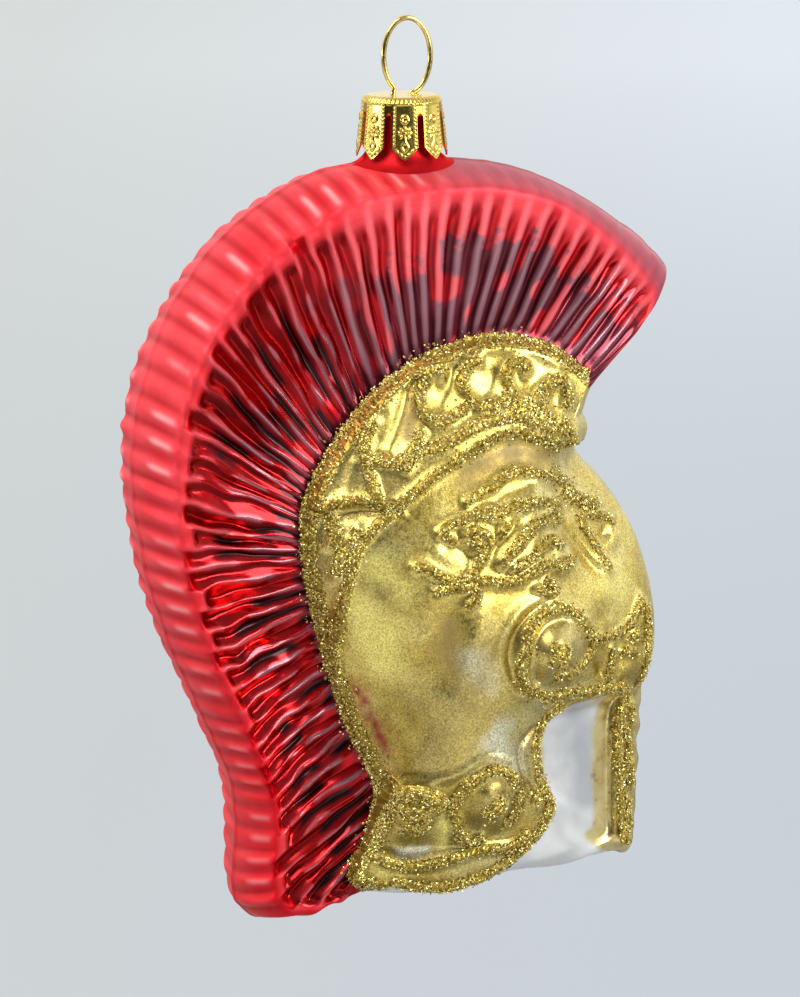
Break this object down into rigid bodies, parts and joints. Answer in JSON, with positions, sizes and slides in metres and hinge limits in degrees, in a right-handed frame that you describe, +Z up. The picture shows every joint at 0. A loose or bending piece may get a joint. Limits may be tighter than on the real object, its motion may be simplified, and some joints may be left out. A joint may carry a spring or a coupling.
{
  "type": "glass roman helmet ornament",
  "caption": "Hanging mirrored-glass ornament shaped as a crested roman helmet, with a ribbed crest, glitter lines, a crown cap and a wire loop.",
  "frame": {"origin": "inside top of the wire loop, where a hook carries the ornament", "axes": "+X towards the helmet's front, +Y to the helmet's left, +Z up along the hanging line"},
  "size_m": [0.0814, 0.0418, 0.1284],
  "materials": {
    "crest_glass": "silvered inside, transparent red lacquer, glossy",
    "gold_glass": "silvered inside, satin gold lacquer",
    "face_glass": "pearl white lacquer, glossy",
    "cap_brass": "bright stamped brass",
    "wire_brass": "drawn brass wire",
    "gold_glitter": "coarse gold glitter set in clear glue"
  },
  "bodies": {
    "root": {"glass_body": "crest_glass", "cap": "cap_brass", "hanger_wire": "wire_brass", "glitter_brow_bead_left": "gold_glitter", "glitter_brow_bead_right": "gold_glitter", "glitter_brow_scroll_left": "gold_glitter", "glitter_brow_scroll_right": "gold_glitter", "glitter_cheek_leaf_left": "gold_glitter", "glitter_cheek_leaf_right": "gold_glitter", "glitter_cheek_line_left": "gold_glitter", "glitter_cheek_line_right": "gold_glitter", "glitter_cheek_scroll_left": "gold_glitter", "glitter_cheek_scroll_right": "gold_glitter", "glitter_crest_line_left": "gold_glitter", "glitter_crest_line_right": "gold_glitter", "glitter_diadem_line_left": "gold_glitter", "glitter_diadem_line_right": "gold_glitter", "glitter_hem_line_left": "gold_glitter", "glitter_hem_line_right": "gold_glitter", "glitter_inner_hem_left": "gold_glitter", "glitter_inner_hem_right": "gold_glitter", "glitter_mane_back_left": "gold_glitter", "glitter_mane_back_right": "gold_glitter", "glitter_mane_brow_left": "gold_glitter", "glitter_mane_brow_right": "gold_glitter", "glitter_mane_curl_left": "gold_glitter", "glitter_mane_curl_right": "gold_glitter", "glitter_mane_lower_left": "gold_glitter", "glitter_mane_lower_right": "gold_glitter", "glitter_mane_middle_left": "gold_glitter", "glitter_mane_middle_right": "gold_glitter", "glitter_mane_side_left": "gold_glitter", "glitter_mane_side_right": "gold_glitter", "glitter_mane_tip_left": "gold_glitter", "glitter_mane_tip_right": "gold_glitter", "glitter_mane_top_left": "gold_glitter", "glitter_mane_top_right": "gold_glitter", "glitter_mane_upper_left": "gold_glitter", "glitter_mane_upper_right": "gold_glitter", "glitter_nose_left": "gold_glitter", "glitter_nose_right": "gold_glitter", "glitter_tie_knot_left": "gold_glitter", "glitter_tie_knot_right": "gold_glitter", "glitter_tie_left": "gold_glitter", "glitter_tie_right": "gold_glitter", "glitter_wave_1_left": "gold_glitter", "glitter_wave_1_right": "gold_glitter", "glitter_wave_2_left": "gold_glitter", "glitter_wave_2_right": "gold_glitter", "glitter_wave_3_left": "gold_glitter", "glitter_wave_3_right": "gold_glitter", "glitter_wave_4_left": "gold_glitter", "glitter_wave_4_right": "gold_glitter", "glitter_wave_band_left": "gold_glitter", "glitter_wave_band_right": "gold_glitter"}
  },
  "joints": []
}
